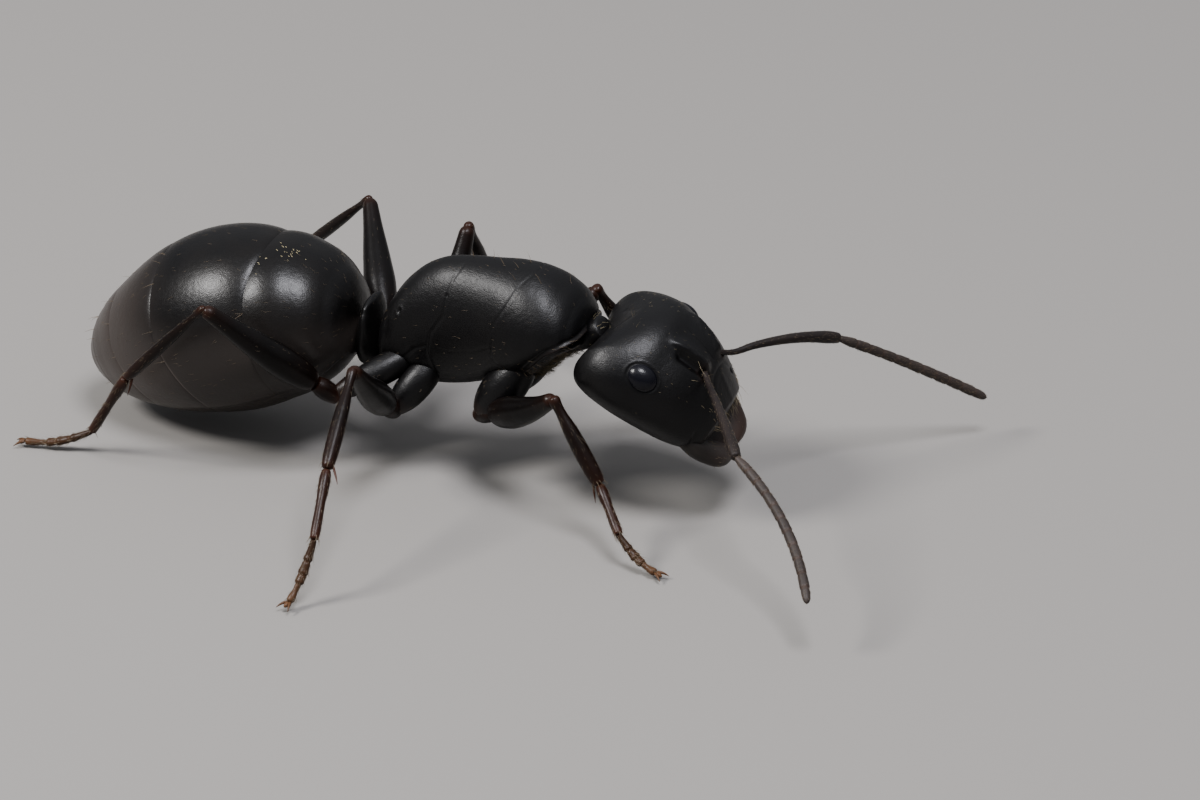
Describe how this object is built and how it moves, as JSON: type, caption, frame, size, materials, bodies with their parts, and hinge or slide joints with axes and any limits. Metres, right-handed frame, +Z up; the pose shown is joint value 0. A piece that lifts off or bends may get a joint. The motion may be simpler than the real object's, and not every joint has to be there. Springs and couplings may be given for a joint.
{
  "type": "carpenter ant model",
  "caption": "Still, life-size model of a black carpenter ant worker standing in mid-step, with elbowed feelers spread and head turned down.",
  "frame": {"origin": "on the ground under the middle of the ant's box, feelers and feet included", "axes": "+X the way the ant faces, along its trunk; +Y its left side; +Z up from the ground"},
  "size_m": [0.0157, 0.0122, 0.0041],
  "materials": {
    "body_cuticle": "satin black, finely grained",
    "gaster_cuticle": "glossy black with a brownish rear",
    "leg_cuticle": "dark red-brown, glossy",
    "foot_cuticle": "red-brown, slightly glossy",
    "feeler_cuticle": "dark brown with a grey bloom",
    "eye": "polished black"
  },
  "bodies": {
    "root": {"eye_left": "eye", "eye_right": "eye", "funiculus_left": "feeler_cuticle", "funiculus_right": "feeler_cuticle", "gaster_1": "gaster_cuticle", "gaster_2": "gaster_cuticle", "gaster_3": "gaster_cuticle", "gaster_4": "gaster_cuticle", "gaster_5": "gaster_cuticle", "head": "body_cuticle", "left_fore_basitarsus": "foot_cuticle", "left_fore_coxa": "leg_cuticle", "left_fore_femur": "leg_cuticle", "left_fore_tarsus": "foot_cuticle", "left_fore_tibia": "leg_cuticle", "left_fore_trochanter": "leg_cuticle", "left_hind_basitarsus": "foot_cuticle", "left_hind_coxa": "leg_cuticle", "left_hind_femur": "leg_cuticle", "left_hind_tarsus": "foot_cuticle", "left_hind_tibia": "leg_cuticle", "left_hind_trochanter": "leg_cuticle", "left_mid_basitarsus": "foot_cuticle", "left_mid_coxa": "leg_cuticle", "left_mid_femur": "leg_cuticle", "left_mid_tarsus": "foot_cuticle", "left_mid_tibia": "leg_cuticle", "left_mid_trochanter": "leg_cuticle", "mandible_left": "body_cuticle", "mandible_right": "body_cuticle", "mesothorax": "body_cuticle", "neck": "body_cuticle", "petiole": "body_cuticle", "pronotum": "body_cuticle", "propodeum": "body_cuticle", "right_fore_basitarsus": "foot_cuticle", "right_fore_coxa": "leg_cuticle", "right_fore_femur": "leg_cuticle", "right_fore_tarsus": "foot_cuticle", "right_fore_tibia": "leg_cuticle", "right_fore_trochanter": "leg_cuticle", "right_hind_basitarsus": "foot_cuticle", "right_hind_coxa": "leg_cuticle", "right_hind_femur": "leg_cuticle", "right_hind_tarsus": "foot_cuticle", "right_hind_tibia": "leg_cuticle", "right_hind_trochanter": "leg_cuticle", "right_mid_basitarsus": "foot_cuticle", "right_mid_coxa": "leg_cuticle", "right_mid_femur": "leg_cuticle", "right_mid_tarsus": "foot_cuticle", "right_mid_tibia": "leg_cuticle", "right_mid_trochanter": "leg_cuticle", "scape_left": "feeler_cuticle", "scape_right": "feeler_cuticle"}
  },
  "joints": []
}
